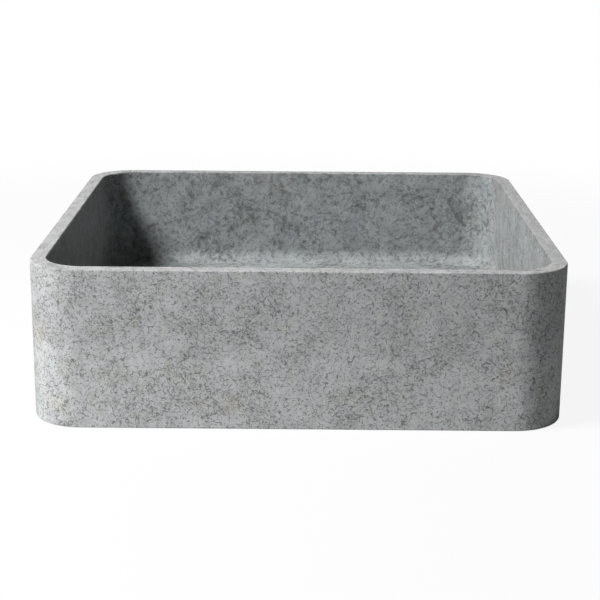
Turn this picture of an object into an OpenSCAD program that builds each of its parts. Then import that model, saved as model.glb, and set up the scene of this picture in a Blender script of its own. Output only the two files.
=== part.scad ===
// Square concrete basin for standing on a worktop, with its push-button waste.
// Z is up and the origin is the centre of the basin's flat underside.
// The plug is drawn raised, which is the open position.

/* [Basin] */
// Width of the basin across the front
basin_w = 400; // [340:5:520]
// Depth of the basin from front to back
basin_d = 400; // [340:5:520]
// Height of the rim above the worktop
basin_h = 121; // [95:1:180]
// Thickness of the side walls
wall = 12; // [8:0.5:20]
// Radius of the outer upright corners
outer_corner_r = 39; // [20:1:60]
// Radius of the inner upright corners
inner_corner_r = 30.5; // [16:0.5:55]
// Height of the bowl's floor above the worktop at the walls
floor_level = 33; // [26:0.5:45]
// Radius of the cove between the walls and the floor
cove_r = 12; // [4:0.5:14]
// Fall of the floor from the edge of the dish to the drain
floor_fall = 2.5; // [0.5:0.25:5]
// Radius of the round dish that falls to the drain
dish_r = 165; // [100:5:165]
// Width of the level land around the drain
drain_land = 4; // [1:0.5:10]
// Rounding of the rim's outer edge
rim_outer_r = 1; // [0.5:0.25:4]
// Rounding of the rim's inner edge
rim_inner_r = 1.5; // [0.5:0.25:4]
// Rounding of the edge round the underside
base_edge_r = 1.5; // [0.5:0.25:5]
// Radius of the recess in the underside that takes the back nut
recess_r = 42; // [38:1:60]
// Depth of the recess in the underside
recess_depth = 14.5; // [14:0.5:17]

/* [Waste body] */
// Radius of the flange in the bowl
flange_r = 32.5; // [29:0.5:38]
// Thickness of the flange at its edge
flange_t = 2; // [1.5:0.25:3]
// Rounding of the flange's upper edge
flange_edge_r = 0.8; // [0.2:0.1:1.2]
// Outer radius of the threaded tail, a G 1 1/4 pipe thread
thread_r = 20.955; // [20.5:0.005:22]
// How far the shoulder under the flange stands out from the tail
shoulder_step = 1.5; // [0.5:0.25:2]
// Height of the shoulder under the flange
shoulder_h = 4; // [2:0.5:8]
// Bore radius of the tail
waste_bore_r = 18; // [17:0.25:18.5]
// Length of the tail below the flange
tail_len = 58.5; // [58:0.5:70]
// Radius of the funnel's mouth in the flange
funnel_r = 21.5; // [20.75:0.25:23]
// Depth of the funnel
funnel_depth = 3.5; // [3:0.25:6]
// Chamfer at the end of the tail
tail_chamfer = 1; // [0.5:0.25:2]
// Depth of the hub's top below the flange
hub_depth = 40; // [39:0.25:41]
// Radius of the hub that carries the cartridge
hub_r = 7.5; // [6.5:0.25:8]
// Height of the hub
hub_h = 6; // [4:0.5:7]
// Number of spokes that hold the hub
spokes = 4; // [3:1:4]
// Thickness of each spoke
spoke_t = 2.5; // [1.5:0.25:3.5]
// How far the ring round the spokes stands in from the bore
spoke_ring = 0.5; // [0.25:0.25:1]

/* [Seals and back nut] */
// Thickness of the gasket under the flange
gasket_t = 1; // [0.5:0.25:2]
// Outer radius of the gasket under the flange
gasket_r = 31; // [28:0.5:32]
// Gap between the flange and the rebate in the bowl's floor
rebate_gap = 1.5; // [0.5:0.25:3]
// Gap between the tail and the drain hole in the concrete
hole_gap = 3; // [2:0.25:5]
// Outer radius of the cone washer and the slip washer
washer_r = 30; // [27:0.5:34]
// Thickness of the cone washer's rim
cone_washer_t = 4; // [2:0.5:6]
// Height of the cone that centres the tail in the drain hole
cone_h = 4; // [2:0.5:8]
// Wall of the cone at its upper end
cone_tip = 1; // [0.5:0.25:1.25]
// Gap between the foot of the cone and the drain hole
cone_gap = 0.3; // [0.1:0.1:0.6]
// Thickness of the slip washer
slip_washer_t = 1.5; // [0.5:0.25:3]
// Gap between the washers and the tail's thread
washer_gap = 0.15; // [0.05:0.05:0.4]
// Size of the back nut across its flats
back_nut_af = 54; // [50:1:60]
// Thickness of the back nut
back_nut_t = 8; // [5:0.5:10]
// Chamfer of the back nut's corners
back_nut_chamfer = 2; // [1:0.25:3]
// Gap between the back nut's thread and the tail's
thread_gap = 0.05; // [0.02:0.01:0.1]

/* [Tailpiece] */
// Outer radius of the tailpiece, a 1 1/4 inch tube
tailpiece_r = 15.875; // [15:0.125:16.5]
// Wall of the tailpiece
tailpiece_wall = 1.2; // [0.8:0.1:1.6]
// Length of the tailpiece below the waste body
tailpiece_len = 30; // [25:5:200]
// Length of the threaded collar that screws into the waste body
collar_thread_len = 7; // [5:0.5:7.5]
// Radius of the shoulder on the tailpiece that closes on the seal
tail_shoulder_r = 20; // [19:0.25:20.5]
// Thickness of the shoulder on the tailpiece
tail_shoulder_t = 2; // [1.5:0.25:3]
// Thickness of the seal between the tailpiece and the waste body
tail_seal_t = 1; // [0.5:0.25:1.5]

/* [Cartridge] */
// Outer radius of the cartridge sleeve
sleeve_r = 7; // [6.5:0.25:8]
// Bore radius of the cartridge sleeve
sleeve_bore_r = 5.6; // [5.5:0.1:6]
// Length of the cartridge sleeve
sleeve_len = 30; // [29:0.25:31]
// Thickness of the sleeve's floor
sleeve_floor_t = 3; // [2:0.5:4]
// Size of the sleeve cap across its flats
cap_af = 15; // [13:0.5:18]
// Thickness of the sleeve cap's hexagon
cap_t = 2.5; // [2:0.25:3.5]
// Length of the sleeve cap's neck inside the sleeve
neck_len = 5; // [4:0.5:6]
// Radius of the ring's round section, for the ring that wipes the plunger
wiper_section_r = 0.9; // [0.7:0.05:0.95]
// Radius of the screw that fixes the cartridge
screw_r = 2.5; // [2:0.25:3]
// Radius of the screw's head
screw_head_r = 4.6; // [4:0.1:5.5]
// Height of the screw's head
screw_head_h = 3; // [2:0.25:4]
// Size of the screw's hexagon socket across its flats
screw_socket_af = 3; // [2:0.25:4]
// Outer radius of the washer under the screw's head
screw_washer_r = 6; // [5:0.25:7]
// Thickness of the washer under the screw's head
screw_washer_t = 1; // [0.5:0.25:1.5]
// Running gap round the plunger, the rotor and the fixed stems
run_gap = 0.06; // [0.03:0.01:0.09]

/* [Latch and spring] */
// Height of the rotor without its teeth
rotor_h = 4; // [3:0.5:5]
// Number of teeth on the rotor
rotor_teeth = 4; // [3:1:6]
// Height of the rotor's teeth
tooth_h = 0.8; // [0.4:0.1:1]
// Angle that one rotor tooth fills, in degrees
tooth_deg = 40; // [20:5:50]
// Gap between the rotor's teeth and the plunger's collar
latch_gap = 0.2; // [0.1:0.05:0.5]
// Radius of the spring's wire
wire_r = 0.45; // [0.35:0.05:0.5]
// Radius of the spring to the middle of its wire
coil_r = 3.9; // [3.6:0.1:4.2]
// Number of turns in the spring
coil_turns = 4; // [3:0.5:4.5]

/* [Plunger and plug] */
// How far the plug travels from open to shut
plug_travel = 9; // [7:0.5:9.5]
// Radius of the plunger's stem
plunger_r = 3; // [2.5:0.25:3.25]
// Height of the plunger's collar inside the sleeve
collar_h = 4; // [3:0.5:5]
// Gap between the plunger's collar and the neck that stops it
stop_gap = 0.1; // [0.02:0.02:0.2]
// Radius of the plunger's spigot inside the rotor and the spring
spigot_r = 2.2; // [1.75:0.1:2.5]
// Length of the spigot below the rotor
spigot_len = 3; // [1:0.25:4]
// Radius of the plug
plug_r = 31; // [28:0.5:34]
// Height of the plug's dome above its straight edge
dome_h = 5; // [3:0.5:8]
// Height of the plug's straight edge
plug_edge_h = 1.8; // [1.5:0.1:3]
// Thickness of the plug's shell
plug_shell_t = 1.8; // [1.2:0.1:2.5]
// Gap between the plug's edge and the flange when shut
shut_gap = 1.2; // [0.5:0.1:2]
// Radius of the boss under the plug
boss_r = 7; // [5.5:0.5:9]
// Depth of the plunger's thread inside the boss
boss_thread = 4.5; // [3:0.25:5.5]
// Outer radius of the rubber seal
seal_r = 20; // [18.5:0.1:20.5]
// Thickness of the rubber seal
seal_t = 2.5; // [2:0.25:3]
// Gap between the seal and the funnel when shut
seal_gap = 0.15; // [0.05:0.05:0.4]
// Radius of the disc that backs the seal
disc_r = 16; // [12:0.5:17]
// Thickness of the disc that backs the seal
disc_t = 1.2; // [0.8:0.1:1.6]
// Size of the height nut across its flats
height_nut_af = 10; // [9:0.5:12]
// Thickness of the height nut
height_nut_t = 3; // [2:0.25:3.5]

/* [Hidden] */
$fn = 96;

// How far a cut runs past the face that it opens
over = 1;

// Heights of the drain, from the bowl's floor down
drain_z = floor_level - floor_fall;
flange_z = drain_z - flange_t;
rebate_z = flange_z - gasket_t;
tail_z = flange_z - tail_len;
hole_r = thread_r + hole_gap;
rebate_r = flange_r + rebate_gap;
shoulder_r = thread_r + shoulder_step;

// Heights of the washers and the nut, from the top of the recess down
cone_washer_z = recess_depth - cone_washer_t;
slip_z = cone_washer_z - slip_washer_t;
back_nut_z = slip_z - back_nut_t;

// Heights of the tailpiece, from the end of the waste body down
tail_seal_z = tail_z - tail_seal_t;
tail_shoulder_z = tail_seal_z - tail_shoulder_t;
tailpiece_z = tail_shoulder_z - tailpiece_len;
tailpiece_bore_r = tailpiece_r - tailpiece_wall;

// Heights of the cartridge, from the hub up
hub_z = flange_z - hub_depth;
sleeve_top = hub_z + sleeve_len;
sleeve_floor_z = hub_z + sleeve_floor_t;
neck_z = sleeve_top - neck_len;
screw_washer_z = hub_z - hub_h - screw_washer_t;
collar_z = neck_z - stop_gap - collar_h;
collar_r = sleeve_bore_r - run_gap;
rotor_z = collar_z - latch_gap - tooth_h - rotor_h;
wiper_r = plunger_r + run_gap + wiper_section_r;
groove_h = 2 * (wiper_section_r + run_gap);

// Heights of the plug when open; its seal rests in the funnel when it is shut
funnel_slope = (funnel_r - waste_bore_r) / funnel_depth;
seat_z = drain_z - funnel_depth + (seal_r - waste_bore_r) / funnel_slope;
seal_z = seat_z + seal_gap + plug_travel;
boss_z = seal_z + seal_t;
disc_z = seal_z - disc_t;
height_nut_z = disc_z - height_nut_t;
plug_z = drain_z + shut_gap + plug_travel;
dome_r = (plug_r * plug_r + dome_h * dome_h) / (2 * dome_h);
dome_z = plug_z + plug_edge_h + dome_h - dome_r;

// The spring's wire, along the middle of its section
WIRE_SIDES = 6;
TURN_STEPS = 8;
wire_low = sleeve_floor_z + wire_r;
wire_high = rotor_z - wire_r;
wire_steps = coil_turns * TURN_STEPS;

// Corner between two straight edges, filled outside a circle of radius r.
// dx and dz point from the sharp corner to the circle's centre.
module spandrel(x, z, r, dx, dz) {
    translate([x, z]) difference() {
        translate([min(dx, 0) * r, min(dz, 0) * r]) square(r);
        translate([dx * r, dz * r]) circle(r);
    }
}

// Half outline of a block from its middle to its side face, rounded at top and bottom
module block_outline(half, z0, z1, low_r, high_r) {
    difference() {
        translate([0, z0]) square([half, z1 - z0]);
        spandrel(half, z0, low_r, -1, 1);
        if (high_r > 0) spandrel(half, z1, high_r, -1, -1);
    }
}

// The same half outline for a hollow, whose mouth opens out over a rounded edge
module hollow_outline(half, z0, z1, low_r, mouth_r) {
    block_outline(half, z0, z1, low_r, 0);
    spandrel(half, z1, mouth_r, 1, -1);
    translate([0, z1]) square([half + mouth_r, over]);
}

// Sweeps a half outline round a rectangle with rounded corners.
// Child 0 is drawn for the corners, child 1 for the sides and child 2 for the front and back.
module round_rectangle(w, d, r) {
    for (sx = [0, 1], sy = [0, 1])
        mirror([sx, 0, 0]) mirror([0, sy, 0])
            translate([w / 2 - r, d / 2 - r, 0]) rotate_extrude(angle = 90) children(0);
    rotate([90, 0, 0]) linear_extrude(d - 2 * r, center = true) {
        children(1);
        mirror([1, 0]) children(1);
    }
    rotate([90, 0, 90]) linear_extrude(w - 2 * r, center = true) {
        children(2);
        mirror([1, 0]) children(2);
    }
}

module basin_block() {
    round_rectangle(basin_w, basin_d, outer_corner_r) {
        block_outline(outer_corner_r, 0, basin_h, base_edge_r, rim_outer_r);
        block_outline(basin_w / 2, 0, basin_h, base_edge_r, rim_outer_r);
        block_outline(basin_d / 2, 0, basin_h, base_edge_r, rim_outer_r);
    }
}

module bowl_hollow() {
    bowl_w = basin_w - 2 * wall;
    bowl_d = basin_d - 2 * wall;
    round_rectangle(bowl_w, bowl_d, inner_corner_r) {
        hollow_outline(inner_corner_r, floor_level, basin_h, cove_r, rim_inner_r);
        hollow_outline(bowl_w / 2, floor_level, basin_h, cove_r, rim_inner_r);
        hollow_outline(bowl_d / 2, floor_level, basin_h, cove_r, rim_inner_r);
    }
}

// Shallow dish that falls to a level land round the drain
module floor_dish() {
    land_r = rebate_r + drain_land;
    rotate_extrude() polygon([
        [0, drain_z],
        [land_r, drain_z],
        [dish_r, floor_level],
        [dish_r, floor_level + over],
        [0, floor_level + over]
    ]);
}

// The one casting: walls, coved bowl, falling floor and the hole for the waste
module basin() {
    color("#8d8f8e") difference() {
        basin_block();
        bowl_hollow();
        floor_dish();
        translate([0, 0, rebate_z]) cylinder(r = rebate_r, h = drain_z - rebate_z + over);
        translate([0, 0, -over]) cylinder(r = hole_r, h = rebate_z + 2 * over);
        translate([0, 0, -over]) cylinder(r = recess_r, h = recess_depth + over);
    }
}

module flange_gasket() {
    color("#26282a") translate([0, 0, rebate_z]) difference() {
        cylinder(r = gasket_r, h = gasket_t);
        translate([0, 0, -over]) cylinder(r = shoulder_r + washer_gap, h = gasket_t + 2 * over);
    }
}

// Flange, shoulder, funnel and tail, turned from one piece and left solid at the hub
module waste_turning() {
    rotate_extrude() difference() {
        union() {
            translate([0, flange_z]) square([flange_r, flange_t]);
            translate([0, flange_z - shoulder_h]) square([shoulder_r, shoulder_h]);
            translate([0, tail_z]) square([thread_r, tail_len]);
        }
        spandrel(flange_r, drain_z, flange_edge_r, -1, -1);
        translate([0, tail_z - over]) square([waste_bore_r, hub_z - hub_h - tail_z + over]);
        polygon([
            [0, hub_z],
            [waste_bore_r, hub_z],
            [waste_bore_r, drain_z - funnel_depth],
            [funnel_r, drain_z],
            [funnel_r, drain_z + over],
            [0, drain_z + over]
        ]);
        polygon([
            [thread_r - tail_chamfer, tail_z],
            [thread_r, tail_z + tail_chamfer],
            [thread_r + over, tail_z + tail_chamfer],
            [thread_r + over, tail_z - over],
            [thread_r - tail_chamfer, tail_z - over]
        ]);
    }
}

// Openings between the spokes that hold the hub
module hub_windows() {
    translate([0, 0, hub_z - hub_h - over]) linear_extrude(hub_h + 2 * over) difference() {
        circle(waste_bore_r - spoke_ring);
        circle(hub_r);
        for (i = [0 : spokes - 1])
            rotate(45 + i * 360 / spokes) translate([0, -spoke_t / 2]) square([thread_r, spoke_t]);
    }
}

module waste_body() {
    color("#c9ccce") difference() {
        waste_turning();
        hub_windows();
        translate([0, 0, hub_z - hub_h - over])
            cylinder(r = screw_r + run_gap, h = hub_h + 2 * over);
    }
}

// Rubber washer whose cone centres the tail in the drain hole
module cone_washer() {
    bore_r = thread_r + washer_gap;
    color("#2b2d2f") rotate_extrude() polygon([
        [bore_r, cone_washer_z],
        [washer_r, cone_washer_z],
        [washer_r, recess_depth],
        [hole_r - cone_gap, recess_depth],
        [bore_r + cone_tip, recess_depth + cone_h],
        [bore_r, recess_depth + cone_h]
    ]);
}

module slip_washer() {
    color("#e4e2da") translate([0, 0, slip_z]) difference() {
        cylinder(r = washer_r, h = slip_washer_t);
        translate([0, 0, -over])
            cylinder(r = thread_r + washer_gap, h = slip_washer_t + 2 * over);
    }
}

// Hexagon bar across its flats
module hexagon(af, h) {
    cylinder(d = af / cos(30), h = h, $fn = 6);
}

// Cone-ended cylinder that turns the corners off a hexagon
module corner_turning(af, h, chamfer) {
    full_r = af / 2 / cos(30);
    rotate_extrude() polygon([
        [0, 0],
        [full_r - chamfer, 0],
        [full_r, chamfer / 2],
        [full_r, h - chamfer / 2],
        [full_r - chamfer, h],
        [0, h]
    ]);
}

module back_nut() {
    color("#c8a24a") translate([0, 0, back_nut_z]) difference() {
        intersection() {
            hexagon(back_nut_af, back_nut_t);
            corner_turning(back_nut_af, back_nut_t, back_nut_chamfer);
        }
        translate([0, 0, -over]) cylinder(r = thread_r + thread_gap, h = back_nut_t + 2 * over);
    }
}

module tail_seal() {
    color("#26282a") translate([0, 0, tail_seal_z]) difference() {
        cylinder(r = tail_shoulder_r, h = tail_seal_t);
        translate([0, 0, -over]) cylinder(r = waste_bore_r + run_gap, h = tail_seal_t + 2 * over);
    }
}

// Tube that takes the trap, with a threaded collar and a shoulder at its upper end
module tailpiece() {
    color("#c9ccce") rotate_extrude() difference() {
        union() {
            translate([0, tailpiece_z]) square([tailpiece_r, tailpiece_len]);
            translate([0, tail_shoulder_z]) square([tail_shoulder_r, tail_shoulder_t]);
            translate([0, tail_shoulder_z])
                square([waste_bore_r - thread_gap, tail_z + collar_thread_len - tail_shoulder_z]);
        }
        translate([0, tailpiece_z - over])
            square([tailpiece_bore_r, tail_z + collar_thread_len - tailpiece_z + 2 * over]);
    }
}

// Screw that holds the cartridge down on the hub, driven from below
module cartridge_screw() {
    head_z = screw_washer_z - screw_head_h;
    color("#b9bcbf") difference() {
        union() {
            translate([0, 0, head_z]) cylinder(r = screw_head_r, h = screw_head_h);
            translate([0, 0, screw_washer_z])
                cylinder(r = screw_r, h = sleeve_floor_z - screw_washer_z);
        }
        translate([0, 0, head_z - over]) hexagon(screw_socket_af, screw_head_h / 2 + over);
    }
}

module screw_washer() {
    color("#aeb1b4") translate([0, 0, screw_washer_z]) difference() {
        cylinder(r = screw_washer_r, h = screw_washer_t);
        translate([0, 0, -over])
            cylinder(r = screw_r + run_gap, h = screw_washer_t + 2 * over);
    }
}

// Barrel of the cartridge, closed below and held by the screw in its floor
module cartridge_sleeve() {
    color("#d7c08a") translate([0, 0, hub_z]) difference() {
        cylinder(r = sleeve_r, h = sleeve_len);
        translate([0, 0, sleeve_floor_t]) cylinder(r = sleeve_bore_r, h = sleeve_len);
        translate([0, 0, -over]) cylinder(r = screw_r + run_gap, h = sleeve_floor_t + 2 * over);
    }
}

// Cap that closes the sleeve and guides the plunger, with a groove for the wiper ring
module sleeve_cap() {
    color("#d0b060") difference() {
        union() {
            translate([0, 0, sleeve_top]) hexagon(cap_af, cap_t);
            translate([0, 0, neck_z]) cylinder(r = sleeve_bore_r - run_gap, h = neck_len);
        }
        translate([0, 0, neck_z - over])
            cylinder(r = plunger_r + run_gap, h = neck_len + cap_t + 2 * over);
        translate([0, 0, sleeve_top - groove_h / 2])
            cylinder(r = wiper_r + wiper_section_r + run_gap, h = groove_h);
    }
}

module wiper_ring() {
    color("#1f2123") translate([0, 0, sleeve_top])
        rotate_extrude() translate([wiper_r, 0]) circle(wiper_section_r);
}

// Point on the middle of the spring's wire, after a number of steps
function wire_point(i) = let (turn = 360 * i / TURN_STEPS) [
    coil_r * cos(turn),
    coil_r * sin(turn),
    wire_low + (wire_high - wire_low) * i / wire_steps
];

// Ring of points round the wire, square to its path
function wire_ring(i) = let (
    turn = 360 * i / TURN_STEPS,
    pitch = (wire_high - wire_low) / coil_turns,
    lean = atan2(pitch, 2 * PI * coil_r),
    out = [cos(turn), sin(turn), 0],
    up = [sin(turn) * sin(lean), -cos(turn) * sin(lean), cos(lean)]
) [for (s = [0 : WIRE_SIDES - 1])
    let (a = 360 * s / WIRE_SIDES) wire_point(i) + wire_r * (cos(a) * out + sin(a) * up)];

// Least distance between the wire's surface on one turn and on the turns after it
function wire_gap() = min([for (i = [0 : wire_steps], j = [i + TURN_STEPS / 2 : 1 : wire_steps])
    norm(wire_point(i) - wire_point(j))]) - 2 * wire_r;

// Coil spring that lifts the plunger, one unbroken length of wire
module spring() {
    rings = [for (i = [0 : wire_steps]) wire_ring(i)];
    points = [for (ring = rings, p = ring) p];
    last = wire_steps * WIRE_SIDES;
    echo(spring_gap_to_itself = wire_gap());
    color("#c4c7ca") polyhedron(points, [
        for (i = [0 : wire_steps - 1], s = [0 : WIRE_SIDES - 1])
            let (a = i * WIRE_SIDES, n = (s + 1) % WIRE_SIDES)
                [a + s, a + WIRE_SIDES + s, a + n],
        for (i = [0 : wire_steps - 1], s = [0 : WIRE_SIDES - 1])
            let (a = i * WIRE_SIDES, n = (s + 1) % WIRE_SIDES)
                [a + n, a + WIRE_SIDES + s, a + WIRE_SIDES + n],
        [for (s = [0 : WIRE_SIDES - 1]) s],
        [for (s = [WIRE_SIDES - 1 : -1 : 0]) last + s]
    ]);
}

// Indexing ring that turns under the plunger's collar as the plug is pressed
module latch_rotor() {
    tooth_in = spigot_r + run_gap;
    color("#e9e7e0") translate([0, 0, rotor_z]) difference() {
        union() {
            cylinder(r = collar_r, h = rotor_h);
            for (i = [0 : rotor_teeth - 1])
                rotate([0, 0, i * 360 / rotor_teeth]) translate([0, 0, rotor_h])
                    rotate_extrude(angle = tooth_deg) translate([tooth_in, -over])
                        square([collar_r - tooth_in, tooth_h + over]);
        }
        translate([0, 0, -over])
            cylinder(r = spigot_r + run_gap, h = rotor_h + tooth_h + 2 * over);
    }
}

// Stem that carries the plug, with the collar that stops it and the spigot that guides the spring
module plunger() {
    spigot_z = rotor_z - spigot_len;
    color("#cfd2d4") {
        translate([0, 0, spigot_z]) cylinder(r = spigot_r, h = collar_z - spigot_z);
        translate([0, 0, collar_z]) cylinder(r = collar_r, h = collar_h);
        translate([0, 0, collar_z + collar_h])
            cylinder(r = plunger_r, h = boss_z + boss_thread - collar_z - collar_h);
    }
}

// Domed plug with a boss that screws on the plunger
module plug_cap() {
    rim_top = plug_z + plug_edge_h;
    color("#d5d8da") rotate_extrude() difference() {
        union() {
            // Shell between two arcs with one centre
            intersection() {
                difference() {
                    translate([0, dome_z]) circle(dome_r);
                    translate([0, dome_z]) circle(dome_r - plug_shell_t);
                }
                translate([0, plug_z]) square([plug_r, plug_edge_h + dome_h + over]);
            }
            translate([plug_r - plug_shell_t, plug_z])
                square([plug_shell_t, plug_edge_h]);
            translate([0, boss_z]) square([boss_r, rim_top + dome_h - plug_shell_t - boss_z]);
        }
        translate([-2 * dome_r, dome_z - 2 * dome_r]) square([2 * dome_r, 4 * dome_r]);
        translate([0, boss_z - over])
            square([plunger_r + run_gap, boss_thread + 2 * run_gap + over]);
    }
}

module plug_seal() {
    color("#232527") translate([0, 0, seal_z]) difference() {
        cylinder(r = seal_r, h = seal_t);
        translate([0, 0, -over]) cylinder(r = plunger_r + run_gap, h = seal_t + 2 * over);
    }
}

module seal_disc() {
    color("#c8a24a") translate([0, 0, disc_z]) difference() {
        cylinder(r = disc_r, h = disc_t);
        translate([0, 0, -over]) cylinder(r = plunger_r + run_gap, h = disc_t + 2 * over);
    }
}

module height_nut() {
    color("#c8a24a") translate([0, 0, height_nut_z]) difference() {
        hexagon(height_nut_af, height_nut_t);
        translate([0, 0, -over]) cylinder(r = plunger_r + run_gap, h = height_nut_t + 2 * over);
    }
}

basin();
flange_gasket();
waste_body();
cone_washer();
slip_washer();
back_nut();
tail_seal();
tailpiece();
cartridge_screw();
screw_washer();
cartridge_sleeve();
sleeve_cap();
wiper_ring();
spring();
latch_rotor();
plunger();
plug_cap();
plug_seal();
seal_disc();
height_nut();
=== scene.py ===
import math
import bmesh
import bpy
from mathutils import Matrix, Vector


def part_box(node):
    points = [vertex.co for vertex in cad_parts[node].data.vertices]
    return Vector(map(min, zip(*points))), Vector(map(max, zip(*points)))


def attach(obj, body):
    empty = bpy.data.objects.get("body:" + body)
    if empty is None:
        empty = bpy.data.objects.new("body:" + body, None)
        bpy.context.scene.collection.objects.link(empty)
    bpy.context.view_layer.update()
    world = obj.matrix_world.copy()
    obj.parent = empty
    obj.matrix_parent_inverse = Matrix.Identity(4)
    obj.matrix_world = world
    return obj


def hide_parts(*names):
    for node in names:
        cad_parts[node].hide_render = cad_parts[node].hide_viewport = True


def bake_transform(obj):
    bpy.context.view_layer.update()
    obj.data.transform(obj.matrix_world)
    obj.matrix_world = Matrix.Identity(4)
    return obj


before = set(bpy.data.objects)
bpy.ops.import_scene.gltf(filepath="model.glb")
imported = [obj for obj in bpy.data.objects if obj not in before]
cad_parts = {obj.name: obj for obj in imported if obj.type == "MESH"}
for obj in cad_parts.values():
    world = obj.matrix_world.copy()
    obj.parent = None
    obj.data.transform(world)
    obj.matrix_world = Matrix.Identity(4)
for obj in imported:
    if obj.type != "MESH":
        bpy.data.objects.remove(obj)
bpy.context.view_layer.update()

mm = 0.001
mergeDistance = 0.000002  # metres
levelTolerance = 0.00001  # metres
scene = bpy.context.scene


def place(tree, kind, inputs=None, **settings):
    node = tree.nodes.new("ShaderNode" + kind)
    for name, value in settings.items():
        setattr(node, name, value)
    for name, value in (inputs or {}).items():
        if isinstance(value, bpy.types.NodeSocket):
            tree.links.new(value, node.inputs[name])
        else:
            node.inputs[name].default_value = value
    return node


def calc(tree, operation, a, b=None):
    values = {0: a} if b is None else {0: a, 1: b}
    return place(tree, "Math", values, operation=operation).outputs[0]


def product(tree, first, *others):
    total = first
    for other in others:
        total = calc(tree, "MULTIPLY", total, other)
    return total


def ramp(tree, value, low, high, atLow=0.0, atHigh=1.0):
    # a smooth step between low and high, and what it comes out as at each end
    limits = {"Value": value, "From Min": low, "From Max": high, "To Min": atLow, "To Max": atHigh}
    return place(tree, "MapRange", limits, interpolation_type="SMOOTHSTEP").outputs["Result"]


def inZone(tree, zone, elsewhere, there):
    return ramp(tree, zone, 0.0, 1.0, elsewhere, there)


def shift(tree, where, move):
    return place(tree, "VectorMath", {0: where, 1: move}, operation="ADD").outputs[0]


def scaled(tree, vector, factor):
    return place(tree, "VectorMath", {0: vector, "Scale": factor}, operation="SCALE").outputs[0]


def stretched(tree, vector, factors):
    return place(tree, "VectorMath", {0: vector, 1: factors}, operation="MULTIPLY").outputs[0]


def noise(tree, where, perMetre, detail=2.0, roughness=0.5, move=(0.0, 0.0, 0.0)):
    moved = shift(tree, where, move)
    settings = {"Vector": moved, "Scale": perMetre, "Detail": detail, "Roughness": roughness}
    return place(tree, "TexNoise", settings).outputs["Fac"]


# A mix node takes values in its sockets 2 and 3, vectors in 4 and 5 and colours in 6 and 7
def blendValue(tree, factor, first, second):
    return place(tree, "Mix", {0: factor, 2: first, 3: second}, data_type="FLOAT").outputs[0]


def blendVector(tree, factor, first, second):
    return place(tree, "Mix", {0: factor, 4: first, 5: second}, data_type="VECTOR").outputs[1]


def blendColour(tree, factor, first, second):
    return place(tree, "Mix", {0: factor, 6: first, 7: second}, data_type="RGBA").outputs[2]


def tintWhere(tree, mask, colour, tint):
    return blendColour(tree, mask, colour, stretched(tree, colour, tint))


def newMaterial(name):
    material = bpy.data.materials.new(name)
    material.use_nodes = True
    tree = material.node_tree
    surface = tree.nodes["Principled BSDF"]
    where = place(tree, "TexCoord").outputs["Object"]
    return material, tree, surface, where


def addBump(tree, surface, height, strength, distance):
    bump = place(tree, "Bump", {"Height": height, "Strength": strength, "Distance": distance})
    tree.links.new(bump.outputs["Normal"], surface.inputs["Normal"])


# Sizes of the casting in mm, as in the part's source
castingForm = {
    "width": 400.0,
    "depth": 400.0,
    "height": 121.0,
    "wall": 12.0,
    "outerCorner": 39.0,
    "innerCorner": 30.5,
    "floorLevel": 33.0,
    "cove": 12.0,
    "dishRadius": 165.0,
    "landRadius": 38.0,
    "landLevel": 30.5,
    "rebateRadius": 34.0,
    "rebateLevel": 27.5,
    "holeRadius": 23.955,
    "recessRadius": 42.0,
    "recessDepth": 14.5,
    "rimOuter": 1.0,
    "rimInner": 1.5,
    "footEdge": 1.5,
    "cornerSteps": 24,
    "coveSteps": 10,
    "edgeSteps": 4,
}

# Where the look of the concrete changes, in metres. With two values, a change starts at the first and is
# done at the second. Those below the top count down from the rim's level.
concreteZones = {
    "ragged": {"perMetre": 420, "detail": 2.0, "roughness": 0.6},
    "raggedBand": (0.3, 0.7, -0.0002, 0.0002),
    "rimBelowTop": (0.0005, 0.0001),
    "lipBelowTop": (0.0020, 0.0012),
    "lipEndBelowTop": (0.00015, 0.00002),
    "bowlFrom": (0.026, 0.030),
    "wallFade": 0.003,
    "cornerInset": 0.008,
    "sideFrom": 0.184,
}

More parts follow.
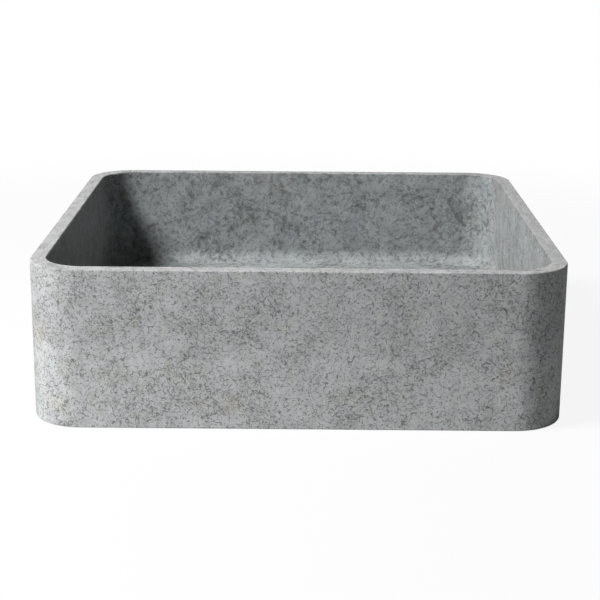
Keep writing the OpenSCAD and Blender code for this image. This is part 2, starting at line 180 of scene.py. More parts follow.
# Look of the cast concrete, per metre or in metres. Hairs are broken lines along the edges of bent cells.
# A band has the low and the high end of a noise or a height, and what they come out as.
concreteLook = {
    "pale": (0.373, 0.383, 0.391, 1.0),
    "mid": (0.373, 0.384, 0.380, 1.0),
    "warm": (0.380, 0.377, 0.368, 1.0),
    "rim": (0.479, 0.484, 0.481, 1.0),
    # painted shade: the inside of the bowl darker and cooler than the outer faces, its side walls a little
    # less dark
    "bowlPaintedShade": (0.944, 0.975, 0.981, 1.0),
    "sidePaintedShade": (0.966, 0.974, 0.971, 1.0),
    "markTint": (1.004, 1.0, 0.985),
    "stainTint": (1.0, 0.978, 0.935),
    "hairs": [
        {"cells": 200, "bend": 280, "reach": 0.0042, "half": 0.00026, "breaks": 400, "share": 0.50,
         "strength": 1.0, "move": (0.11, 0.32, 0.53)},
        {"cells": 330, "bend": 420, "reach": 0.0028, "half": 0.00020, "breaks": 640, "share": 0.51,
         "strength": 0.8, "move": (0.71, 0.12, 0.33)},
        {"cells": 90, "bend": 130, "reach": 0.0080, "half": 0.00028, "breaks": 160, "share": 0.585,
         "strength": 1.0, "move": (0.41, 0.62, 0.93)},
    ],
    "dots": [
        {"perMetre": 300, "share": 0.70, "strength": 0.9, "move": (0.0, 0.0, 0.0)},
        {"perMetre": 520, "share": 0.62, "strength": 0.8, "move": (0.3, 0.3, 0.3)},
    ],
    "speckDepth": {"face": 0.61, "bowl": 0.36, "side": 0.54, "rim": 0.42},
    "smudgeDepth": {"face": 0.17, "bowl": 0.36, "side": 0.20, "rim": 0.20},
    "cloud": {"perMetre": 38, "detail": 2.0, "roughness": 0.55, "move": (0.3, 0.1, 0.7)},
    "crowdBand": (0.36, 0.66, 0.036, -0.036),
    "cloudBand": (0.35, 0.65, 1.03, 0.96),
    "driftBand": (0.3, 0.7, -0.006, 0.006),
    "patch": {"perMetre": 110, "detail": 2.0, "roughness": 0.6, "move": (0.2, 0.8, 0.5)},
    "patchBand": (0.30, 0.75),
    "patchTone": {"pale": 1.05, "face": 0.86, "bowl": 0.78},
    "grain": {"perMetre": 1000, "detail": 1.0, "roughness": 0.5, "move": (0.1, 0.6, 0.4)},
    "grainBand": (0.20, 0.80, 0.93, 1.07),
    "smudge": {"perMetre": 300, "detail": 2.0, "roughness": 0.5, "move": (0.5, 0.3, 0.2)},
    "smudgeBand": (0.50, 0.68),
    "stain": {"perMetre": 62, "detail": 4.0, "roughness": 0.62, "move": (0.9, 0.4, 0.1)},
    "stainBand": (0.60, 0.72),
    "stainDepth": 0.06,
    "hue": {"perMetre": 75, "detail": 2.0, "roughness": 0.55, "move": (0.6, 0.2, 0.1)},
    "hueBand": (0.40, 0.58),
    "warmth": {"perMetre": 30, "detail": 2.0, "roughness": 0.5, "move": (0.4, 0.9, 0.6)},
    "warmthBand": (0.56, 0.72),
    # painted light and shade on the outer faces: paler towards the foot and the brim, darker between
    "footPaintedLight": (0.038, 0.080, 1.072, 0.943),
    "brimPaintedLight": (0.090, 0.120, 1.0, 1.03),
    # painted shade on the lip just below the rim
    "lipPaintedShade": 0.80,
    "bowlScale": 0.70,
    "sideScale": (1.0, 1.15, 0.85),
    "bowlWiden": 1.8,
    "bowlThin": 0.025,
    "roughness": 0.82,
    "specular": 0.15,
    "grainRelief": 0.6,
    "speckRelief": 0.5,
    "bump": 0.12,
    "bumpDistance": 0.0003,
}

# How the hairs and dots fade out: a hair by shares of its half width, a dot by its distance from the middle
# of its cell, and the breaks and the choice of dots by levels of a noise
markEdges = {
    "hairCore": 0.25,
    "hairEdge": 1.4,
    "breakMove": (0.17, 0.17, 0.17),
    "breakFrom": -0.02,
    "breakTo": 0.06,
    "dotBand": (0.10, 0.24, 1.0, 0.0),
    "dotTaper": 0.1,
}


def hairLines(tree, where, hair, crowd, widen):
    moved = shift(tree, where, hair["move"])
    bending = {"Vector": moved, "Scale": hair["bend"], "Detail": 1.0}
    swirl = place(tree, "TexNoise", bending).outputs["Color"]
    centred = place(tree, "VectorMath", {0: swirl, 1: (0.5, 0.5, 0.5)}, operation="SUBTRACT").outputs[0]
    reach = {0: centred, 1: (hair["reach"],) * 3, 2: moved}
    bent = place(tree, "VectorMath", reach, operation="MULTIPLY_ADD").outputs[0]
    lattice = {"Vector": bent, "Scale": hair["cells"]}
    cells = place(tree, "TexVoronoi", lattice, feature="DISTANCE_TO_EDGE").outputs["Distance"]
    half = hair["half"] * hair["cells"]
    core = half * markEdges["hairCore"]
    edge = half * markEdges["hairEdge"]
    line = ramp(tree, calc(tree, "DIVIDE", cells, widen), core, edge, 1.0, 0.0)
    broken = noise(tree, moved, hair["breaks"], 1.0, 0.5, markEdges["breakMove"])
    low = hair["share"] + markEdges["breakFrom"]
    high = hair["share"] + markEdges["breakTo"]
    kept = ramp(tree, calc(tree, "SUBTRACT", broken, crowd), low, high)
    return product(tree, line, kept, hair["strength"])


def roundDots(tree, where, dot):
    lattice = {"Vector": shift(tree, where, dot["move"]), "Scale": dot["perMetre"]}
    cells = place(tree, "TexVoronoi", lattice, feature="F1").outputs
    chance = place(tree, "SeparateColor", {0: cells["Color"]}).outputs[0]
    spot = ramp(tree, cells["Distance"], *markEdges["dotBand"])
    kept = ramp(tree, chance, dot["share"], dot["share"] + markEdges["dotTaper"])
    return product(tree, spot, kept, dot["strength"])


def under(top, depths):
    return [top - depth for depth in depths]


def findZones(tree, where, form, zones):
    # masks from 0 to 1: the whole inside of the bowl, the bowl without its side walls, those side walls,
    # the ground rim, and the lip just below the rim, where shade is painted
    axes = place(tree, "SeparateXYZ", {0: where}).outputs
    top = form["height"] * mm
    ragged = ramp(tree, noise(tree, where, **zones["ragged"]), *zones["raggedBand"])
    rim = ramp(tree, calc(tree, "ADD", axes["Z"], ragged), *under(top, zones["rimBelowTop"]))
    sideX = calc(tree, "ABSOLUTE", axes["X"])
    sideY = calc(tree, "ABSOLUTE", axes["Y"])
    midWall = (form["width"] / 2 - form["wall"] / 2) * mm
    cornerPoint = (form["width"] / 2 - form["outerCorner"] * (1 - math.sqrt(0.5))) * mm
    cornerLimit = 2 * cornerPoint - zones["cornerInset"]
    across = calc(tree, "ADD", sideX, sideY)
    inside = ramp(tree, axes["Z"], *zones["bowlFrom"])
    for away, limit in ((sideX, midWall), (sideY, midWall), (across, cornerLimit)):
        inside = product(tree, inside, ramp(tree, away, limit - zones["wallFade"], limit, 1.0, 0.0))
    beside = calc(tree, "GREATER_THAN", sideX, zones["sideFrom"])
    lipStart = ramp(tree, axes["Z"], *under(top, zones["lipBelowTop"]))
    lipEnd = ramp(tree, axes["Z"], *under(top, zones["lipEndBelowTop"]), 1.0, 0.0)
    return {
        "inside": inside,
        "bowl": product(tree, inside, calc(tree, "SUBTRACT", 1.0, beside)),
        "side": product(tree, inside, beside),
        "rim": rim,
        "lip": product(tree, inside, lipStart, lipEnd),
    }


def byZone(tree, depths, zones):
    depth = inZone(tree, zones["bowl"], depths["face"], depths["bowl"])
    depth = blendValue(tree, zones["side"], depth, depths["side"])
    return blendValue(tree, zones["rim"], depth, depths["rim"])


def lessened(tree, amount, depth):
    return calc(tree, "SUBTRACT", 1.0, product(tree, amount, depth))


def crowded(tree, where, settings, crowd, band):
    # a noise that reaches further where the concrete is crowded
    return ramp(tree, calc(tree, "SUBTRACT", noise(tree, where, **settings), crowd), *band)


def spreadOut(tree, where, zones, look):
    # coordinates of the marks, which are larger in the bowl and drawn out on its side walls
    inBowl = calc(tree, "GREATER_THAN", zones["bowl"], 0.5)
    spread = scaled(tree, where, inZone(tree, inBowl, 1.0, look["bowlScale"]))
    return blendVector(tree, zones["side"], spread, stretched(tree, where, look["sideScale"]))


def findSpecks(tree, spread, crowd, zones, look):
    widen = inZone(tree, zones["bowl"], 1.0, look["bowlWiden"])
    fewer = calc(tree, "ADD", crowd, inZone(tree, zones["bowl"], 0.0, look["bowlThin"]))
    marks = [hairLines(tree, spread, hair, fewer, widen) for hair in look["hairs"]]
    marks += [roundDots(tree, spread, dot) for dot in look["dots"]]
    specks = marks[0]
    for mark in marks[1:]:
        specks = calc(tree, "MAXIMUM", specks, mark)
    return specks


def paintedLightBands(tree, where, cloud, zones, look):
    # painted light and shade on the outer faces: paler towards the foot and the brim and darker between, at
    # ragged levels
    level = place(tree, "SeparateXYZ", {0: where}).outputs["Z"]
    level = calc(tree, "ADD", level, ramp(tree, cloud, *look["driftBand"]))
    tone = product(tree, ramp(tree, level, *look["footPaintedLight"]), ramp(tree, level, *look["brimPaintedLight"]))
    return blendValue(tree, calc(tree, "MAXIMUM", zones["inside"], zones["rim"]), tone, 1.0)


def makeConcrete(look, form):
    material, tree, surface, where = newMaterial("castConcrete")
    zones = findZones(tree, where, form, concreteZones)
    spread = spreadOut(tree, where, zones, look)
    cloud = noise(tree, spread, **look["cloud"])
    crowd = ramp(tree, cloud, *look["crowdBand"])
    grain = noise(tree, where, **look["grain"])
    patch = noise(tree, spread, **look["patch"])
    specks = findSpecks(tree, spread, crowd, zones, look)
    smear = crowded(tree, spread, look["smudge"], crowd, look["smudgeBand"])
    stain = crowded(tree, spread, look["stain"], crowd, look["stainBand"])

    patchy = look["patchTone"]
    dull = inZone(tree, zones["bowl"], patchy["face"], patchy["bowl"])
    tone = product(
        tree,
        lessened(tree, specks, byZone(tree, look["speckDepth"], zones)),
        lessened(tree, smear, byZone(tree, look["smudgeDepth"], zones)),
        ramp(tree, patch, *look["patchBand"], patchy["pale"], dull),
        ramp(tree, cloud, *look["cloudBand"]),
        ramp(tree, grain, *look["grainBand"]),
        inZone(tree, stain, 1.0, 1.0 - look["stainDepth"]),
        # painted light and shade on the outer faces, by height
        paintedLightBands(tree, where, cloud, zones, look),
        # painted shade on the lip below the rim, so that its rounding catches no highlight
        inZone(tree, zones["lip"], 1.0, look["lipPaintedShade"]),
    )

    hue = crowded(tree, spread, look["hue"], crowd, look["hueBand"])
    warmth = ramp(tree, noise(tree, spread, **look["warmth"]), *look["warmthBand"])
    # painted shade over the whole inside of the bowl
    bowlPaintedShade = blendColour(tree, zones["side"], look["bowlPaintedShade"], look["sidePaintedShade"])
    body = blendColour(tree, hue, look["pale"], look["mid"])
    body = blendColour(tree, warmth, body, look["warm"])
    body = tintWhere(tree, zones["inside"], body, bowlPaintedShade)
    body = blendColour(tree, zones["rim"], body, look["rim"])
    body = tintWhere(tree, calc(tree, "MAXIMUM", specks, smear), body, look["markTint"])
    body = tintWhere(tree, stain, body, look["stainTint"])
    tree.links.new(scaled(tree, body, tone), surface.inputs["Base Color"])
    surface.inputs["Roughness"].default_value = look["roughness"]
    surface.inputs["Specular IOR Level"].default_value = look["specular"]
    raised = product(tree, grain, look["grainRelief"])
    relief = calc(tree, "SUBTRACT", raised, product(tree, specks, look["speckRelief"]))
    addBump(tree, surface, relief, look["bump"], look["bumpDistance"])
    return material


# What the metals share, per metre or in metres: mottled tarnish and fine turning marks. A metal's streaks
# are how much closer together its marks lie along each axis.
metalLook = {
    "mottle": {"perMetre": 220, "detail": 3.0, "roughness": 0.55},
    "tarnishBand": (0.42, 0.68),
    "roughBand": (0.35, 0.70),
    "roughShares": (0.8, 1.3),
    "marksPerMetre": 900,
    "marksBand": (0.3, 0.7),
    "marksShare": 0.25,
    "bump": 0.05,
    "bumpDistance": 0.0001,
}

chromedBrass = {
    "name": "chromedBrass",
    "colour": (0.62, 0.63, 0.64, 1.0),
    "tarnish": (0.585, 0.595, 0.605, 1.0),
    "roughness": 0.09,
    "streaks": (1.0, 1.0, 6.0),
}

plainBrass = {
    "name": "plainBrass",
    "colour": (0.60, 0.43, 0.17, 1.0),
    "tarnish": (0.44, 0.30, 0.12, 1.0),
    "roughness": 0.30,
    "streaks": (1.0, 1.0, 5.0),
}

turnedSteel = {
    "name": "turnedSteel",
    "colour": (0.55, 0.56, 0.57, 1.0),
    "tarnish": (0.47, 0.48, 0.49, 1.0),
    "roughness": 0.28,
    "streaks": (1.0, 1.0, 12.0),
}


def makeMetal(look, shared):
    material, tree, surface, where = newMaterial(look["name"])
    mottle = noise(tree, where, **shared["mottle"])
    closer = place(tree, "Mapping", {"Vector": where, "Scale": look["streaks"]}).outputs["Vector"]
    marks = noise(tree, closer, shared["marksPerMetre"])
    tint = blendColour(tree, ramp(tree, mottle, *shared["tarnishBand"]), look["colour"], look["tarnish"])
    tree.links.new(tint, surface.inputs["Base Color"])
    surface.inputs["Metallic"].default_value = 1.0
    roughness = look["roughness"]
    low, high = (roughness * share for share in shared["roughShares"])
    marked = ramp(tree, marks, *shared["marksBand"], 0.0, roughness * shared["marksShare"])
    rough = calc(tree, "ADD", ramp(tree, mottle, *shared["roughBand"], low, high), marked)
    tree.links.new(rough, surface.inputs["Roughness"])
    addBump(tree, surface, marks, shared["bump"], shared["bumpDistance"])
    return material


# What the rubber and the nylon share, per metre or in metres: a dusty bloom and fine pores
softLook = {
    "bloom": {"perMetre": 160, "detail": 3.0, "roughness": 0.6},
    "dustBand": (0.45, 0.75),
    "roughBand": (0.3, 0.7),
    "roughShares": (0.9, 1.1),
    "pores": {"perMetre": 1600, "detail": 2.0, "roughness": 0.5},
    "bump": 0.08,
    "bumpDistance": 0.0001,
}

blackRubber = {
    "name": "blackRubber",
    "colour": (0.030, 0.030, 0.032, 1.0),
    "dusty": (0.055, 0.055, 0.057, 1.0),
    "roughness": 0.72,
    "specular": 0.35,
}

whiteNylon = {
    "name": "whiteNylon",
    "colour": (0.78, 0.77, 0.72, 1.0),
    "dusty": (0.70, 0.69, 0.64, 1.0),
    "roughness": 0.42,
    "specular": 0.45,
}


def makeSoft(look, shared):
    material, tree, surface, where = newMaterial(look["name"])
    bloom = noise(tree, where, **shared["bloom"])
    pores = noise(tree, where, **shared["pores"])
    tint = blendColour(tree, ramp(tree, bloom, *shared["dustBand"]), look["colour"], look["dusty"])
    tree.links.new(tint, surface.inputs["Base Color"])
    low, high = (look["roughness"] * share for share in shared["roughShares"])
    tree.links.new(ramp(tree, bloom, *shared["roughBand"], low, high), surface.inputs["Roughness"])
    surface.inputs["Specular IOR Level"].default_value = look["specular"]
    addBump(tree, surface, pores, shared["bump"], shared["bumpDistance"])
    return material


# Finishes under the names of the record's material slots
finishes = {
    "concrete": makeConcrete(concreteLook, castingForm),
    "chromed_brass": makeMetal(chromedBrass, metalLook),
    "plain_brass": makeMetal(plainBrass, metalLook),
    "steel": makeMetal(turnedSteel, metalLook),
    "black_rubber": makeSoft(blackRubber, softLook),
    "white_nylon": makeSoft(whiteNylon, softLook),
}
print("materials made")

smoothBelow = math.radians(35)


def keepPiece(bm, name, finish, body, nodes):
    bmesh.ops.remove_doubles(bm, verts=bm.verts, dist=mergeDistance)
    bmesh.ops.recalc_face_normals(bm, faces=bm.faces)
    mesh = bpy.data.meshes.new(name)
    bm.to_mesh(mesh)
    bm.free()
    mesh.shade_smooth()
    mesh.set_sharp_from_angle(angle=smoothBelow)
    mesh.materials.append(finishes[finish])
    piece = bpy.data.objects.new(name, mesh)
    scene.collection.objects.link(piece)
    weighted = piece.modifiers.new("weightedNormals", "WEIGHTED_NORMAL")
    weighted.keep_sharp = True
    if body:
        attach(piece, body)
    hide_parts(*nodes)
    return piece


def only(parts, *kinds):
    return [part for part in parts if isinstance(part, kinds)]


def chain(bm, points, closed=False):
    # a row of edges through points in mm
    verts = [bm.verts.new(Vector(point) * mm) for point in points]
    edges = [bm.edges.new(pair) for pair in zip(verts[:-1], verts[1:])]
    if closed:
        edges.append(bm.edges.new((verts[-1], verts[0])))
    return verts, edges


def arc(centreX, centreZ, radius, fromDegrees, toDegrees, steps):
    # points of distance and height, from 0 degrees outwards to 90 degrees upwards
    sweep = toDegrees - fromDegrees
    angles = [math.radians(fromDegrees + sweep * i / steps) for i in range(steps + 1)]
    return [(centreX + radius * math.cos(a), centreZ + radius * math.sin(a)) for a in angles]


def lathe(bm, outline, steps, closed=False):
    # turns an outline of radius and height in mm round the drain's axis
    verts, edges = chain(bm, [(r, 0.0, z) for r, z in outline], closed)
    bmesh.ops.spin(bm, geom=verts + edges, cent=(0, 0, 0), axis=(0, 0, 1), dvec=(0, 0, 0),
                   angle=math.tau, steps=steps, use_merge=True)


def closeEnd(bm, section):
    # one face over the last section of a spin
    bmesh.ops.contextual_create(bm, geom=only(section, bmesh.types.BMEdge))


# Tooth of a thread: half its width at the root and at the crest, as shares of the pitch, and in mm how far
# it sinks into the root
toothForm = {
    "base": 0.44,
    "tip": 0.08,
    "sink": 0.1,
}


def threadRidge(bm, rootRadius, crestRadius, pitch, low, high, stepsPerTurn):
    # one tooth carried up a right-hand helix round the root cylinder
    base = pitch * toothForm["base"]
    tip = pitch * toothForm["tip"]
    sunk = rootRadius - toothForm["sink"]
    outline = [(sunk, low - base), (crestRadius, low - tip), (crestRadius, low + tip), (sunk, low + base)]
    verts, edges = chain(bm, [(r, 0.0, z + base) for r, z in outline], closed=True)
    bm.faces.new(verts)
    turns = (high - low - 2 * base) / pitch
    steps = int(turns * stepsPerTurn)
    rise = pitch * turns / steps * mm
    made = bmesh.ops.spin(bm, geom=verts + edges, cent=(0, 0, 0), axis=(0, 0, 1), dvec=(0, 0, rise),
                          angle=math.tau * turns, steps=steps, use_merge=False)
    closeEnd(bm, made["geom_last"])


def carryRound(bm, outline, width, depth, corner, steps):
    # carries an outline round a rectangle with rounded corners; its x is the distance in from the side
    halfWidth = width / 2
    halfDepth = depth / 2
    verts, edges = chain(bm, [(halfWidth - inset, -(halfDepth - corner), z) for inset, z in outline])
    loop = verts + edges
    sides = [
        ((0, depth - 2 * corner), (halfWidth - corner, halfDepth - corner)),
        ((-(width - 2 * corner), 0), (-(halfWidth - corner), halfDepth - corner)),
        ((0, -(depth - 2 * corner)), (-(halfWidth - corner), -(halfDepth - corner))),
        ((width - 2 * corner, 0), (halfWidth - corner, -(halfDepth - corner))),
    ]
    for travel, centre in sides:
        made = bmesh.ops.extrude_edge_only(bm, edges=only(loop, bmesh.types.BMEdge))["geom"]
        moved = only(made, bmesh.types.BMVert)
        bmesh.ops.translate(bm, verts=moved, vec=Vector((*travel, 0)) * mm)
        loop = only(made, bmesh.types.BMVert, bmesh.types.BMEdge)
        made = bmesh.ops.spin(bm, geom=loop, cent=Vector((*centre, 0)) * mm, axis=(0, 0, 1),
                              dvec=(0, 0, 0), angle=math.pi / 2, steps=steps, use_merge=False)
        loop = only(made["geom_last"], bmesh.types.BMVert, bmesh.types.BMEdge)
    bmesh.ops.remove_doubles(bm, verts=verts + only(loop, bmesh.types.BMVert), dist=mergeDistance)


def fillBetween(bm, level):
    # closes the flat ring between the two open loops at one height
    def atLevel(edge):
        return all(abs(vert.co.z - level * mm) < levelTolerance for vert in edge.verts)

    rims = [edge for edge in bm.edges if edge.is_boundary and atLevel(edge)]
    bmesh.ops.triangle_fill(bm, edges=rims, use_beauty=True, use_dissolve=False)


def buildCasting(form):
    bm = bmesh.new()
    top = form["height"]
    outerEdge = form["rimOuter"]
    innerEdge = form["rimInner"]
    foot = form["footEdge"]
    edgeSteps = form["edgeSteps"]
    outside = [(foot - x, z) for x, z in arc(0, foot, foot, 270, 360, edgeSteps)]
    outside += [(outerEdge - x, z) for x, z in arc(0, top - outerEdge, outerEdge, 0, 90, edgeSteps)]
    carryRound(bm, outside, form["width"], form["depth"], form["outerCorner"], form["cornerSteps"])

    bowlWidth = form["width"] - 2 * form["wall"]
    bowlDepth = form["depth"] - 2 * form["wall"]
    cove = form["cove"]
    floorLevel = form["floorLevel"]
    bowl = [(-innerEdge + x, z) for x, z in arc(0, top - innerEdge, innerEdge, 90, 0, edgeSteps)]
    bowl += [(cove - x, z) for x, z in arc(0, floorLevel + cove, cove, 360, 270, form["coveSteps"])]
    carryRound(bm, bowl, bowlWidth, bowlDepth, form["innerCorner"], form["cornerSteps"])

    dish = [
        (form["dishRadius"], floorLevel),
        (form["landRadius"], form["landLevel"]),
        (form["rebateRadius"], form["landLevel"]),
        (form["rebateRadius"], form["rebateLevel"]),
        (form["holeRadius"], form["rebateLevel"]),
        (form["holeRadius"], form["recessDepth"]),
        (form["recessRadius"], form["recessDepth"]),
        (form["recessRadius"], 0.0),
    ]
    lathe(bm, dish, 4 * (form["cornerSteps"] + 1))  # as many steps as the walls have round the basin
    for level in (top, floorLevel, 0.0):
        fillBetween(bm, level)
    keepPiece(bm, "castBasin", "concrete", "basin_body", ["basin"])


buildCasting(castingForm)
print("casting built")

# Waste body in mm: a flange in the bowl, a threaded tail, and a hub on spokes for the push mechanism
wasteForm = {
    "mouthRadius": 21.5,
    "funnelBottom": 27.0,
    "boreRadius": 18.0,
    "flangeRadius": 32.5,
    "flangeTop": 30.5,
    "flangeBottom": 28.5,
    "flangeRound": 0.8,
    "roundSteps": 4,
    "shoulderRadius": 22.455,
    "shoulderBottom": 24.5,
    "neckStep": 0.85,
    "threadRadius": 20.955,
    "threadRoot": 19.55,
    "threadPitch": 2.309,
    "threadTop": 23.2,
    "threadRelief": 0.2,
    "threadStart": 0.4,
    "threadSteps": 32,
    "tailBottom": -30.0,
    "tailChamfer": 0.65,
    "tailChamferRise": 1.0,
    "hubRadius": 7.5,
    "hubBore": 2.56,
    "hubTop": -11.5,
    "hubBottom": -17.5,
    "hubEdge": 0.4,
    "spokeWidth": 2.5,
    "spokeInHub": 0.3,
    "spokeInTail": 0.2,
    "spokeAngle": 45,
    "spokes": 4,
    "steps": 96,
}


def addHub(bm, form):
    hub = form["hubRadius"]
    bore = form["hubBore"]
    edge = form["hubEdge"]
    top = form["hubTop"]
    low = form["hubBottom"]
    outline = [(bore, top), (hub - edge, top), (hub, top - edge), (hub, low + edge)]
    lathe(bm, outline + [(hub - edge, low), (bore, low)], form["steps"] // 2, closed=True)
    near = hub - form["spokeInHub"]
    far = form["boreRadius"] + form["spokeInTail"]
    for turn in range(form["spokes"]):
        made = bmesh.ops.create_cube(bm, size=1.0)["verts"]
        sides = Vector((far - near, form["spokeWidth"], top - low)) * mm
        middle = Matrix.Translation(Vector(((near + far) / 2, 0, (top + low) / 2)) * mm)
        angle = math.radians(form["spokeAngle"]) + math.tau * turn / form["spokes"]
        matrix = Matrix.Rotation(angle, 4, "Z") @ middle @ Matrix.Diagonal((*sides, 1.0))
        bmesh.ops.transform(bm, matrix=matrix, verts=made)


def buildWasteBody(form):
    bm = bmesh.new()
    flange = form["flangeRadius"]
    curve = form["flangeRound"]
    shoulder = form["shoulderRadius"]
    neck = form["shoulderBottom"]
    root = form["threadRoot"]
    bottom = form["tailBottom"]
    bore = form["boreRadius"]
    outline = [(form["mouthRadius"], form["flangeTop"])]
    outline += arc(flange - curve, form["flangeTop"] - curve, curve, 90, 0, form["roundSteps"])
    outline += [(flange, form["flangeBottom"]), (shoulder, form["flangeBottom"]), (shoulder, neck)]
    outline += [(root + form["neckStep"], neck), (root, form["threadTop"] + form["threadRelief"])]
    outline += [(root, bottom + form["tailChamferRise"]), (root - form["tailChamfer"], bottom)]
    outline += [(bore, bottom), (bore, form["funnelBottom"])]
    lathe(bm, outline, form["steps"], closed=True)
    threadRidge(bm, root, form["threadRadius"], form["threadPitch"], bottom + form["threadStart"],
                form["threadTop"], form["threadSteps"])
    addHub(bm, form)
    keepPiece(bm, "wasteBodyThreaded", "chromed_brass", "basin_body", ["waste_body"])


# Domed plug cap in mm, a thin shell with a hub that the plunger screws into
plugForm = {
    "radius": 31.0,
    "domeTop": 47.5,
    "domeRadius": 98.6,
    "domeEdge": 0.45,
    "shell": 1.8,
    "rimBottom": 40.7,
    "rimInner": 29.2,
    "rimRound": 0.5,
    "rimRoundRise": 1.4,
    "rimRoundFrom": 60,
    "rimRoundSteps": 3,
    "rimChamfer": 0.25,
    "hubRadius": 7.0,
    "hubBottom": 40.65,
    "hubChamfer": 0.3,
    "holeRadius": 3.06,
    "holeTop": 45.27,
    "ringsAcross": 12,
    "steps": 96,
}


def domeRow(fromRadius, toRadius, bulge, middle, rings):
    # points on a dome with its centre on the axis
    radii = [fromRadius + (toRadius - fromRadius) * step / rings for step in range(rings + 1)]
    return [(r, middle + math.sqrt(bulge ** 2 - r ** 2)) for r in radii]


def buildPlugCap(form):
    bm = bmesh.new()
    radius = form["radius"]
    bulge = form["domeRadius"]
    middle = form["domeTop"] - bulge
    rings = form["ringsAcross"]
    low = form["rimBottom"]
    rise = low + form["rimRoundRise"]
    curve = form["rimRound"]
    chamfer = form["rimChamfer"]
    hub = form["hubRadius"]
    hubLow = form["hubBottom"]
    hubEdge = form["hubChamfer"]
    hole = form["holeRadius"]
    outline = domeRow(0.0, radius - form["domeEdge"], bulge, middle, rings)
    outline += arc(radius - curve, rise, curve, form["rimRoundFrom"], 0, form["rimRoundSteps"])
    outline += [(radius, low + chamfer), (radius - chamfer, low), (form["rimInner"], low)]
    outline += domeRow(form["rimInner"], hub, bulge - form["shell"], middle, rings)
    outline += [(hub, hubLow + hubEdge), (hub - hubEdge, hubLow), (hole, hubLow)]
    outline += [(hole, form["holeTop"]), (0.0, form["holeTop"])]
    lathe(bm, outline, form["steps"])
    keepPiece(bm, "plugCapDomed", "chromed_brass", "plug", ["plug_cap"])


# Plunger in mm: a rod with a collar that keeps it in its sleeve, and a threaded upper end
plungerForm = {
    "tipRadius": 1.8,
    "footRadius": 2.2,
    "footEdge": 0.4,
    "collarRadius": 5.54,
    "collarLow": 11.9,
    "collarHigh": 15.9,
    "collarEdge": 0.24,
    "rodRadius": 3.0,
    "threadLow": 29.6,
    "threadRoot": 2.62,
    "threadRelief": 0.4,
    "threadPitch": 1.0,
    "threadStart": 0.3,
    "threadEnd": 0.2,
    "threadSteps": 24,
    "endChamfer": 0.3,
    "steps": 48,
}


def buildPlunger(form):
    bm = bmesh.new()
    bottom, top = (corner.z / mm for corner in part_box("plunger"))
    foot = form["footRadius"]
    collar = form["collarRadius"]
    low = form["collarLow"]
    high = form["collarHigh"]
    edge = form["collarEdge"]
    rod = form["rodRadius"]
    thread = form["threadLow"]
    root = form["threadRoot"]
    chamfer = form["endChamfer"]
    outline = [(0.0, bottom), (form["tipRadius"], bottom), (foot, bottom + form["footEdge"]), (foot, low)]
    outline += [(collar - edge, low), (collar, low + edge), (collar, high - edge), (collar - edge, high)]
    outline += [(rod, high), (rod, thread), (root, thread + form["threadRelief"])]
    outline += [(root, top - chamfer), (root - chamfer, top), (0.0, top)]
    lathe(bm, outline, form["steps"])
    threadRidge(bm, root, rod, form["threadPitch"], thread + form["threadStart"], top - form["threadEnd"],
                form["threadSteps"])
    keepPiece(bm, "plungerThreaded", "steel", "plug", ["plunger"])


# Spring in mm, between the floor of the sleeve and the rotor under the plunger's collar
springForm = {
    "wire": 0.45,
    "coil": 3.9,
    "turns": 4,
    "stepsPerTurn": 28,
    "wireSides": 10,
}


def buildSpring(form):
    bm = bmesh.new()
    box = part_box("spring")
    wire = form["wire"] * mm
    low = box[0].z + wire
    high = box[1].z - wire
    circle = bmesh.ops.create_circle(bm, cap_ends=True, segments=form["wireSides"], radius=wire)["verts"]
    bmesh.ops.rotate(bm, verts=circle, cent=(0, 0, 0), matrix=Matrix.Rotation(math.pi / 2, 3, "X"))
    bmesh.ops.translate(bm, verts=circle, vec=(form["coil"] * mm, 0, low))
    steps = form["turns"] * form["stepsPerTurn"]
    made = bmesh.ops.spin(bm, geom=circle + bm.edges[:], cent=(0, 0, 0), axis=(0, 0, 1),
                          dvec=(0, 0, (high - low) / steps), angle=math.tau * form["turns"], steps=steps,
                          use_merge=False)
    closeEnd(bm, made["geom_last"])
    piece = keepPiece(bm, "coilSpring", "steel", None, ["spring"])
    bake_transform(piece)


buildWasteBody(wasteForm)
buildPlugCap(plugForm)
buildPlunger(plungerForm)
buildSpring(springForm)

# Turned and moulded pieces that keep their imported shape, by body and node; the softened edge is in mm
turnedPieces = {
    "basin_body": {
        "flange_gasket": {"name": "flangeGasketRing", "finish": "black_rubber", "edge": 0.12},
        "cone_washer": {"name": "coneWasherRing", "finish": "black_rubber", "edge": 0.25},
        "slip_washer": {"name": "slipWasherRing", "finish": "white_nylon", "edge": 0.15},
        "back_nut": {"name": "backNutHexagon", "finish": "plain_brass", "edge": 0.25},
        "tail_seal": {"name": "tailSealRing", "finish": "black_rubber", "edge": 0.15},
        "tailpiece": {"name": "tailpieceTube", "finish": "chromed_brass", "edge": 0.15},
        "cartridge_screw": {"name": "cartridgeScrewSocketed", "finish": "steel", "edge": 0.15},
        "screw_washer": {"name": "screwWasherRing", "finish": "steel", "edge": 0.12},
        "cartridge_sleeve": {"name": "cartridgeBarrel", "finish": "plain_brass", "edge": 0.12},
        "sleeve_cap": {"name": "sleeveCapHexagon", "finish": "plain_brass", "edge": 0.12},
        "wiper_ring": {"name": "wiperRingRound", "finish": "black_rubber", "edge": 0.05},
    },
    "latch": {
        "latch_rotor": {"name": "latchRotorToothed", "finish": "white_nylon", "edge": 0.1},
    },
    "plug": {
        "plug_seal": {"name": "plugSealDisc", "finish": "black_rubber", "edge": 0.3},
        "seal_disc": {"name": "sealDiscPlate", "finish": "plain_brass", "edge": 0.15},
        "height_nut": {"name": "heightNutHexagon", "finish": "plain_brass", "edge": 0.2},
    },
}

flatBelow = math.radians(0.5)
sharpAbove = math.radians(40)


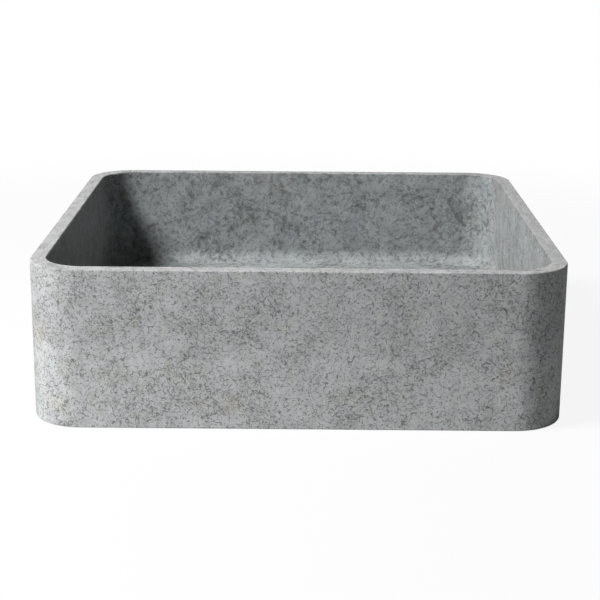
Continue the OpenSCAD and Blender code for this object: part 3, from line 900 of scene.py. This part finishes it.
def buildTurned(node, body, form):
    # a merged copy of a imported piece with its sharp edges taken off
    bm = bmesh.new()
    bm.from_mesh(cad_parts[node].data)
    bmesh.ops.remove_doubles(bm, verts=bm.verts, dist=mergeDistance)
    bmesh.ops.dissolve_limit(bm, angle_limit=flatBelow, verts=bm.verts, edges=bm.edges)
    sharp = [e for e in bm.edges if e.is_manifold and e.calc_face_angle() > sharpAbove]
    bmesh.ops.bevel(bm, geom=sharp, offset=form["edge"] * mm, offset_type="OFFSET", segments=2, profile=0.5,
                    affect="EDGES", clamp_overlap=True, material=-1)
    keepPiece(bm, form["name"], form["finish"], body, [node])


for turnedBody, turnedForms in turnedPieces.items():
    for turnedNode, turnedForm in turnedForms.items():
        buildTurned(turnedNode, turnedBody, turnedForm)
print("waste built")

# Pale floor in metres that the basin stands on, with a round hole for the waste
floorLook = {
    "radius": 1.3,
    "holeRadius": 0.031,
    "drop": 0.0002,
    "sides": 96,
    "paint": (0.7, 0.7, 0.7, 1.0),
    "white": 1.0,
    "shadowShare": 0.10,
    "fadeFrom": 0.55,
    "fadeTo": 1.1,
}


def whiteRays(tree):
    # 1 where the camera, a reflection or glass looks at the background, which lights nothing itself
    path = place(tree, "LightPath").outputs
    seen = calc(tree, "MAXIMUM", path["Is Camera Ray"], path["Is Transmission Ray"])
    return calc(tree, "MAXIMUM", seen, path["Is Glossy Ray"])


def makeFloorPaint(look):
    # white to those rays, but for a share of the shadow near the basin
    material, tree, surface, where = newMaterial("paleFloor")
    flat = stretched(tree, where, (1.0, 1.0, 0.0))
    away = place(tree, "VectorMath", {0: flat}, operation="LENGTH").outputs["Value"]
    clear = ramp(tree, away, look["fadeFrom"], look["fadeTo"], 1.0 - look["shadowShare"], 1.0)
    share = product(tree, whiteRays(tree), clear)
    paint = place(tree, "BsdfDiffuse", {"Color": look["paint"]}).outputs[0]
    white = place(tree, "Emission", {"Strength": look["white"]}).outputs[0]
    mixed = place(tree, "MixShader", {0: share, 1: paint, 2: white}).outputs[0]
    tree.links.new(mixed, tree.nodes["Material Output"].inputs["Surface"])
    tree.nodes.remove(surface)
    return material


def buildFloor(look):
    bm = bmesh.new()
    bmesh.ops.create_circle(bm, segments=look["sides"], radius=look["holeRadius"])
    bmesh.ops.create_circle(bm, segments=look["sides"], radius=look["radius"])
    bmesh.ops.bridge_loops(bm, edges=bm.edges)
    bmesh.ops.translate(bm, verts=bm.verts, vec=(0, 0, -look["drop"]))
    bmesh.ops.recalc_face_normals(bm, faces=bm.faces)
    mesh = bpy.data.meshes.new("studioFloor")
    bm.to_mesh(mesh)
    bm.free()
    mesh.materials.append(makeFloorPaint(look))
    floor = bpy.data.objects.new("studioFloor", mesh)
    scene.collection.objects.link(floor)


def buildWorld():
    world = bpy.data.worlds.new("whiteStudio")
    scene.world = world
    world.use_nodes = True
    tree = world.node_tree
    background = tree.nodes["Background"]
    background.inputs["Color"].default_value = (1.0, 1.0, 1.0, 1.0)
    tree.links.new(whiteRays(tree), background.inputs["Strength"])


# Soft boxes aimed at one point, in metres. Azimuth 0 is in front of the basin and 270 is on its left.
lampsAimAt = Vector((0, 0, 0.06))
studioLamps = [
    {"name": "keySoftBox", "azimuth": 295, "elevation": 48, "distance": 2.4, "width": 0.8, "watts": 84},
    {"name": "lowFrontFill", "azimuth": 320, "elevation": 2, "distance": 0.8, "width": 0.3, "watts": 1.75},
    {"name": "lowRearFill", "azimuth": 157, "elevation": 0, "distance": 2.0, "width": 0.2, "watts": 32},
]


def buildLamp(lamp):
    azimuth = math.radians(lamp["azimuth"])
    elevation = math.radians(lamp["elevation"])
    flat = math.cos(elevation)
    towards = Vector((math.sin(azimuth) * flat, -math.cos(azimuth) * flat, math.sin(elevation)))
    light = bpy.data.lights.new(lamp["name"], "AREA")
    light.shape = "DISK"
    light.size = lamp["width"]
    light.energy = lamp["watts"]
    box = bpy.data.objects.new(lamp["name"], light)
    scene.collection.objects.link(box)
    box.location = lampsAimAt + towards * lamp["distance"]
    box.rotation_mode = "QUATERNION"
    box.rotation_quaternion = (-towards).to_track_quat("-Z", "Y")


# Camera of the photo, fitted to the basin's outline and rim, in pixels, metres, radians and a sensor in mm
photoCamera = {
    "imageSize": 600,
    "focalPixels": 1469.192,
    "eye": (0.002872, -1.224479, 0.381929),
    "pitch": 0.268668,
    "yaw": 0.001611,
    "roll": 0.007997,
    "sensor": 36.0,
}


def buildCamera(shot):
    camera = bpy.data.cameras.new("photoCamera")
    camera.sensor_width = shot["sensor"]
    camera.lens = shot["focalPixels"] / shot["imageSize"] * shot["sensor"]
    holder = bpy.data.objects.new("photoCamera", camera)
    scene.collection.objects.link(holder)
    turn = Matrix.Rotation(shot["yaw"], 4, "Z") @ Matrix.Rotation(math.pi / 2 - shot["pitch"], 4, "X")
    holder.matrix_world = Matrix.Translation(shot["eye"]) @ turn @ Matrix.Rotation(shot["roll"], 4, "Z")
    scene.camera = holder


buildFloor(floorLook)
buildWorld()
for studioLamp in studioLamps:
    buildLamp(studioLamp)
buildCamera(photoCamera)
scene.view_settings.view_transform = "Standard"
print("studio built")
